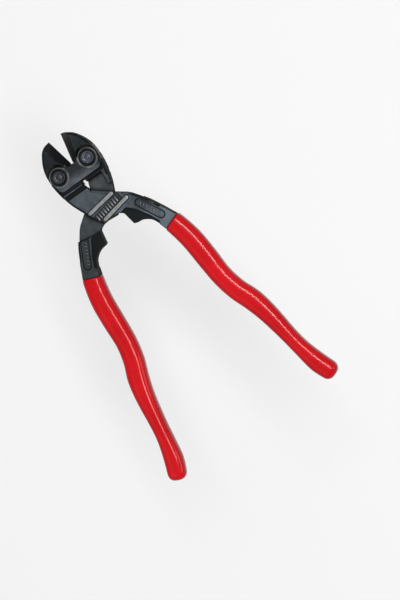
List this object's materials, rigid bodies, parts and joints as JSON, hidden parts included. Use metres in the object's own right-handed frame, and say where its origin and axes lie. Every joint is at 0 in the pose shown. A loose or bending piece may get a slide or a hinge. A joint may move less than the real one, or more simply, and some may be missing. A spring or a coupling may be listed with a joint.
{
  "type": "compact bolt cutters",
  "caption": "Compact one-hand bolt cutters: forged levers turning on separate pins between bow-tie link plates, ground blades, raised ribs and waved rubber grips.",
  "frame": {"origin": "midway between the two pins, on the outer face of the rear link plate, which is what the head rests on when the tool lies flat", "axes": "+Y towards the jaw tips, +Z out of the front face, +X to the right as the front is seen with the jaws up"},
  "size_m": [0.1116, 0.1919, 0.0109],
  "materials": {
    "forged_steel": "forged steel, blackened, satin with a blue-grey sheen",
    "plate_steel": "stamped steel, blackened, satin",
    "pin_steel": "turned steel, riveted ends, dull grey",
    "washer_steel": "blackened steel ring",
    "grip_rubber": "moulded soft plastic, glossy red"
  },
  "bodies": {
    "joint_block": {"front_link_plate": "plate_steel", "rear_link_plate": "plate_steel", "left_pivot_pin": "pin_steel", "right_pivot_pin": "pin_steel", "front_left_washer": "washer_steel", "front_right_washer": "washer_steel", "rear_left_washer": "washer_steel", "rear_right_washer": "washer_steel"},
    "front_arm": {"front_lever": "forged_steel", "right_grip": "grip_rubber"},
    "rear_arm": {"rear_lever": "forged_steel", "left_grip": "grip_rubber"}
  },
  "joints": [
    {"name": "front_lever_hinge", "type": "hinge", "parent": "joint_block", "child": "front_arm", "pos_m": [-0.0096, 0, 0.00545], "axis": [0, 0, 1], "range_deg": [-12, 5]},
    {"name": "rear_lever_hinge", "type": "hinge", "parent": "joint_block", "child": "rear_arm", "pos_m": [0.0096, 0, 0.00545], "axis": [0, 0, 1], "range_deg": [-5, 12]}
  ],
  "couplings": [
    {"joint": "rear_lever_hinge", "follows": "front_lever_hinge", "ratio": -1}
  ]
}
